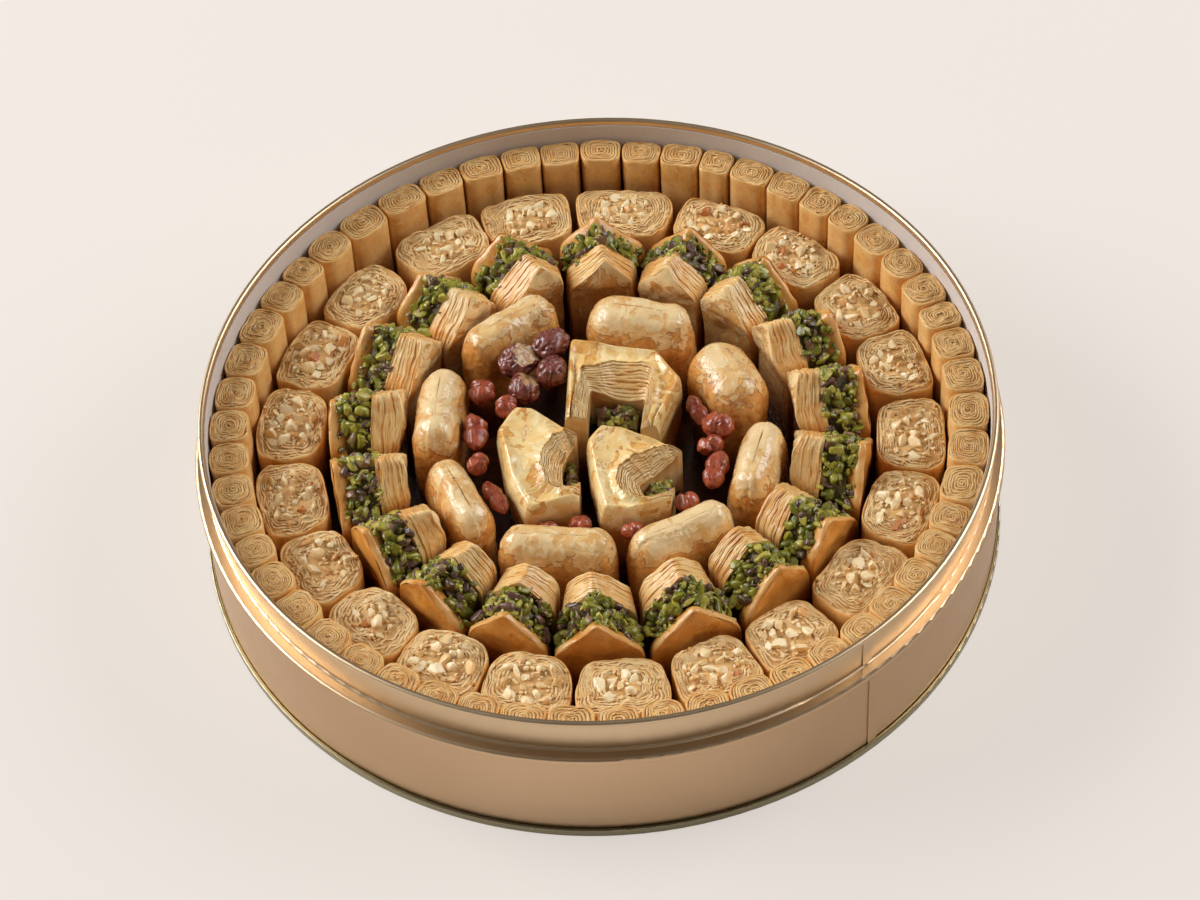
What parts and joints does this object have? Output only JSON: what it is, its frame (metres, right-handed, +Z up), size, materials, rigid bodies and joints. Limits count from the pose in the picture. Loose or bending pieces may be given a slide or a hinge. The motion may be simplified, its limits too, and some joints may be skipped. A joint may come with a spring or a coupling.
{
  "type": "baklava tin",
  "caption": "Round gold-lacquered tin filled with rings of baklava rolls, pistachio squares, glazed rolls, folded pouches and loose nuts.",
  "frame": {"origin": "middle of the footprint, on the plane that the bottom seam stands on", "axes": "+Z up, out of the open top; -Y is the front of the picture, +X its right"},
  "size_m": [0.2858, 0.2858, 0.0601],
  "materials": {
    "tin_lacquer": "satin gold lacquer over tinplate",
    "tin_end": "plain lacquered tinplate",
    "liner_paper": "matt white paper",
    "finger_pastry": "baked sheets, light glaze",
    "cashew_pastry": "baked sheets, light glaze",
    "phyllo_layers": "glazed baked sheets",
    "pistachio_filling": "chopped nuts in syrup",
    "golden_crust": "glazed baked sheets",
    "glazed_pastry": "blistered crust with glaze",
    "folded_sheets": "stacked baked sheets",
    "nut_filling": "nuts in syrup",
    "walnut": "glazed nut with skin",
    "peanut": "glazed nut with skin"
  },
  "bodies": {
    "tin": {"tin_wall": "tin_lacquer", "bottom_end": "tin_end", "paper_liner": "liner_paper"},
    "finger_ring": {"finger_rolls_right": "finger_pastry", "finger_rolls_back": "finger_pastry", "finger_rolls_left": "finger_pastry", "finger_rolls_front": "finger_pastry"},
    "cashew_ring": {"cashew_roll_01": "cashew_pastry", "cashew_roll_02": "cashew_pastry", "cashew_roll_03": "cashew_pastry", "cashew_roll_04": "cashew_pastry", "cashew_roll_05": "cashew_pastry", "cashew_roll_06": "cashew_pastry", "cashew_roll_07": "cashew_pastry", "cashew_roll_08": "cashew_pastry", "cashew_roll_09": "cashew_pastry", "cashew_roll_10": "cashew_pastry", "cashew_roll_11": "cashew_pastry", "cashew_roll_12": "cashew_pastry", "cashew_roll_13": "cashew_pastry", "cashew_roll_14": "cashew_pastry", "cashew_roll_15": "cashew_pastry", "cashew_roll_16": "cashew_pastry", "cashew_roll_17": "cashew_pastry", "cashew_roll_18": "cashew_pastry", "cashew_roll_19": "cashew_pastry", "cashew_roll_20": "cashew_pastry", "cashew_roll_21": "cashew_pastry"},
    "pistachio_ring": {"pistachio_phyllo": "phyllo_layers", "pistachio_filling": "pistachio_filling", "pistachio_crust": "golden_crust"},
    "pillow_roll_1": {"pillow_roll_1": "glazed_pastry"},
    "pillow_roll_2": {"pillow_roll_2": "glazed_pastry"},
    "pillow_roll_3": {"pillow_roll_3": "glazed_pastry"},
    "pillow_roll_4": {"pillow_roll_4": "glazed_pastry"},
    "pillow_roll_5": {"pillow_roll_5": "glazed_pastry"},
    "pillow_roll_6": {"pillow_roll_6": "glazed_pastry"},
    "pillow_roll_7": {"pillow_roll_7": "glazed_pastry"},
    "pillow_roll_8": {"pillow_roll_8": "glazed_pastry"},
    "pouch_back": {"pouch_back": "folded_sheets", "pouch_back_filling": "nut_filling"},
    "pouch_left": {"pouch_left": "folded_sheets", "pouch_left_filling": "nut_filling"},
    "pouch_right": {"pouch_right": "folded_sheets", "pouch_right_filling": "nut_filling"},
    "nuts": {"walnuts": "walnut", "peanuts": "peanut"}
  },
  "joints": [
    {"name": "lift_finger_ring", "type": "slide", "parent": "tin", "child": "finger_ring", "axis": [0, 0, 1], "range_m": [0, 0.07]},
    {"name": "lift_cashew_ring", "type": "slide", "parent": "tin", "child": "cashew_ring", "axis": [0, 0, 1], "range_m": [0, 0.07]},
    {"name": "lift_pistachio_ring", "type": "slide", "parent": "tin", "child": "pistachio_ring", "axis": [0, 0, 1], "range_m": [0, 0.07]},
    {"name": "lift_pillow_roll_1", "type": "slide", "parent": "tin", "child": "pillow_roll_1", "axis": [0, 0, 1], "range_m": [0, 0.07]},
    {"name": "lift_pillow_roll_2", "type": "slide", "parent": "tin", "child": "pillow_roll_2", "axis": [0, 0, 1], "range_m": [0, 0.07]},
    {"name": "lift_pillow_roll_3", "type": "slide", "parent": "tin", "child": "pillow_roll_3", "axis": [0, 0, 1], "range_m": [0, 0.07]},
    {"name": "lift_pillow_roll_4", "type": "slide", "parent": "tin", "child": "pillow_roll_4", "axis": [0, 0, 1], "range_m": [0, 0.07]},
    {"name": "lift_pillow_roll_5", "type": "slide", "parent": "tin", "child": "pillow_roll_5", "axis": [0, 0, 1], "range_m": [0, 0.07]},
    {"name": "lift_pillow_roll_6", "type": "slide", "parent": "tin", "child": "pillow_roll_6", "axis": [0, 0, 1], "range_m": [0, 0.07]},
    {"name": "lift_pillow_roll_7", "type": "slide", "parent": "tin", "child": "pillow_roll_7", "axis": [0, 0, 1], "range_m": [0, 0.07]},
    {"name": "lift_pillow_roll_8", "type": "slide", "parent": "tin", "child": "pillow_roll_8", "axis": [0, 0, 1], "range_m": [0, 0.07]},
    {"name": "lift_pouch_back", "type": "slide", "parent": "tin", "child": "pouch_back", "axis": [0, 0, 1], "range_m": [0, 0.07]},
    {"name": "lift_pouch_left", "type": "slide", "parent": "tin", "child": "pouch_left", "axis": [0, 0, 1], "range_m": [0, 0.07]},
    {"name": "lift_pouch_right", "type": "slide", "parent": "tin", "child": "pouch_right", "axis": [0, 0, 1], "range_m": [0, 0.07]},
    {"name": "lift_nuts", "type": "slide", "parent": "tin", "child": "nuts", "axis": [0, 0, 1], "range_m": [0, 0.07]}
  ]
}
